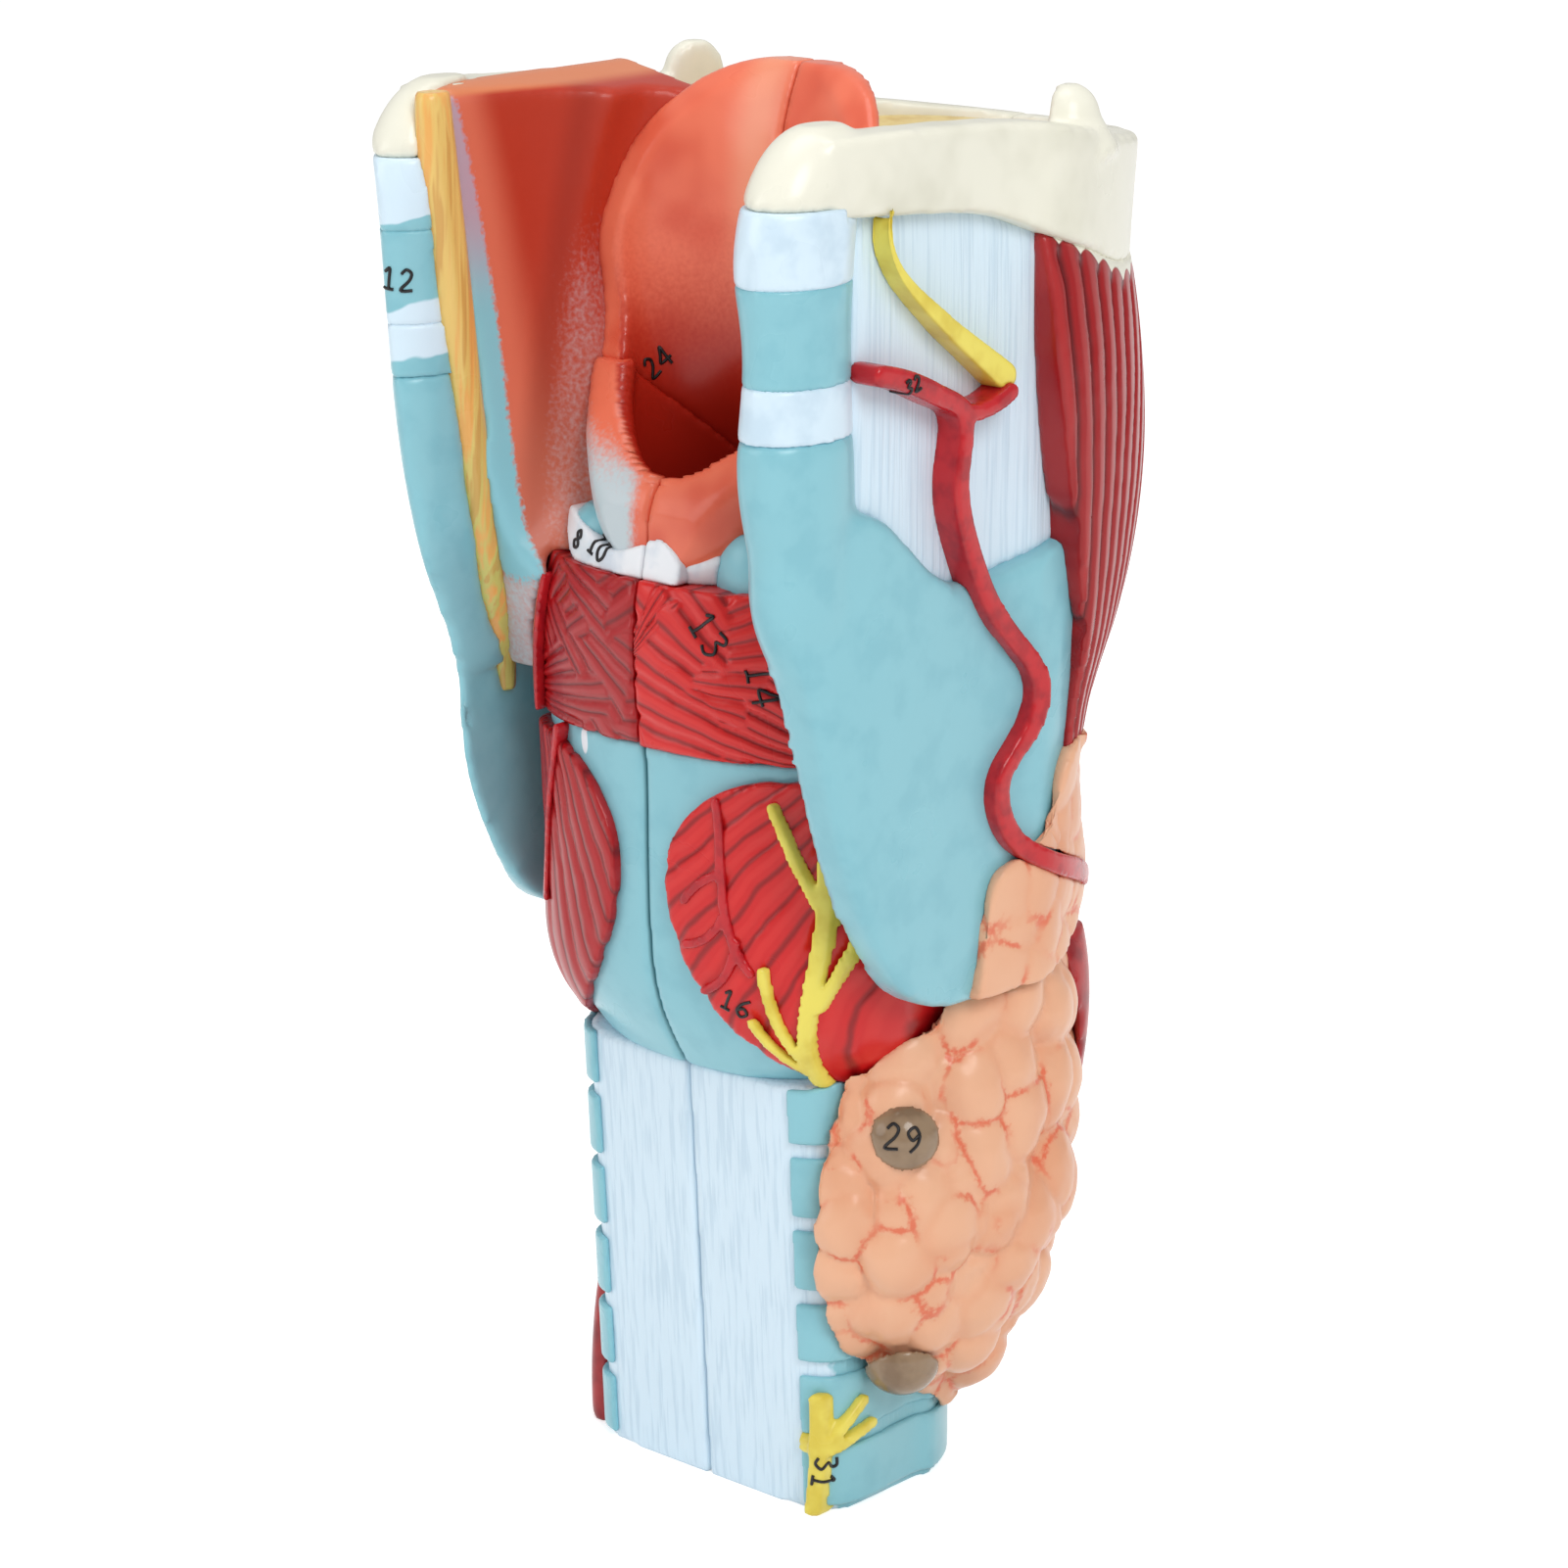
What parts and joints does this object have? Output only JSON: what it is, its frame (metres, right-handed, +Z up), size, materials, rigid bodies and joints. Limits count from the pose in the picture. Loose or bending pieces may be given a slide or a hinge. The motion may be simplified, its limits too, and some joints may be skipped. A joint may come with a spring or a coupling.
{
  "type": "throat model",
  "caption": "Enlarged human throat teaching model, split on the median plane into two halves, with a side wall that lifts off to show the voice box",
  "frame": {"origin": "On the median plane, in the plane of the cut foot of the windpipe", "axes": "+Z up, +Y to the back of the neck, +X to the body's left side"},
  "size_m": [0.0992, 0.1098, 0.224],
  "materials": {
    "teal_cartilage": "glossy painted PVC",
    "pale_windpipe": "glossy painted PVC with brushed striations",
    "white_membrane": "glossy painted PVC",
    "cream_bone": "glossy painted PVC",
    "red_muscle": "glossy painted PVC with raised fibres",
    "strap_muscle": "glossy painted PVC with long grooves",
    "orange_mucosa": "glossy painted PVC",
    "pink_lining": "glossy painted PVC",
    "cut_tissue": "glossy painted PVC",
    "yellow_fat": "glossy painted PVC",
    "artery_red": "glossy painted PVC",
    "yellow_nerve": "glossy painted PVC",
    "peach_gland": "glossy painted PVC with lobules",
    "brown_gland": "glossy painted PVC",
    "white_cap": "glossy painted PVC",
    "pin_plastic": "bare moulded plastic"
  },
  "bodies": {
    "right_half": {"right_airway_lining": "pink_lining", "right_arytenoid_cartilage": "teal_cartilage", "right_corniculate_cartilage": "white_cap", "right_cricoid_cartilage": "teal_cartilage", "right_cricothyroid_muscle": "red_muscle", "right_epiglottic_fat": "yellow_fat", "right_epiglottis": "orange_mucosa", "right_inlet_fold": "orange_mucosa", "right_interarytenoid_muscle": "red_muscle", "right_laryngeal_vessel": "artery_red", "right_lower_nerve": "yellow_nerve", "right_lower_small_gland": "brown_gland", "right_posterior_cricoid_muscle": "red_muscle", "right_quadrangular_membrane": "white_membrane", "right_recurrent_nerve": "yellow_nerve", "right_seam_pins": "pin_plastic", "right_sternothyroid_muscle": "strap_muscle", "right_thyroid_gland": "peach_gland", "right_upper_small_gland": "brown_gland", "right_vestibular_fold": "pink_lining", "right_vocal_fold": "white_cap", "right_vocal_muscle": "red_muscle", "right_windpipe_rings": "teal_cartilage", "right_windpipe_wall": "pale_windpipe"},
    "left_half": {"left_airway_lining": "pink_lining", "left_arytenoid_cartilage": "teal_cartilage", "left_corniculate_cartilage": "white_cap", "left_cricoid_cartilage": "teal_cartilage", "left_cricothyroid_muscle": "red_muscle", "left_cut_tissue_strip": "cut_tissue", "left_epiglottic_fat": "yellow_fat", "left_epiglottis": "orange_mucosa", "left_hyoid_bone": "cream_bone", "left_inlet_fold": "orange_mucosa", "left_interarytenoid_muscle": "red_muscle", "left_laryngeal_vessel": "artery_red", "left_pharynx_mucosa": "orange_mucosa", "left_posterior_cricoid_muscle": "red_muscle", "left_sternothyroid_muscle": "strap_muscle", "left_thyrohyoid_ligament": "white_membrane", "left_thyrohyoid_membrane": "white_membrane", "left_thyrohyoid_muscle": "strap_muscle", "left_thyroid_lamina": "teal_cartilage", "left_triticeate_cartilage": "teal_cartilage", "left_vestibular_fold": "pink_lining", "left_vocal_fold": "white_cap", "left_vocal_muscle": "red_muscle", "left_windpipe_rings": "teal_cartilage", "left_windpipe_wall": "pale_windpipe"},
    "right_wall": {"right_thyroid_lamina": "teal_cartilage", "right_hyoid_bone": "cream_bone", "right_triticeate_cartilage": "teal_cartilage", "right_thyrohyoid_ligament": "white_membrane", "right_thyrohyoid_membrane": "white_membrane", "right_thyrohyoid_muscle": "strap_muscle", "right_thyroid_artery": "artery_red", "right_laryngeal_nerve": "yellow_nerve", "right_gland_upper_pole": "peach_gland", "right_wall_pins": "pin_plastic"}
  },
  "joints": [
    {"name": "left_half_lift_off", "type": "slide", "parent": "right_half", "child": "left_half", "axis": [1, 0, 0], "range_m": [0, 0.12]},
    {"name": "right_wall_lift_off", "type": "slide", "parent": "right_half", "child": "right_wall", "axis": [-1, 0, 0], "range_m": [0, 0.1]}
  ]
}
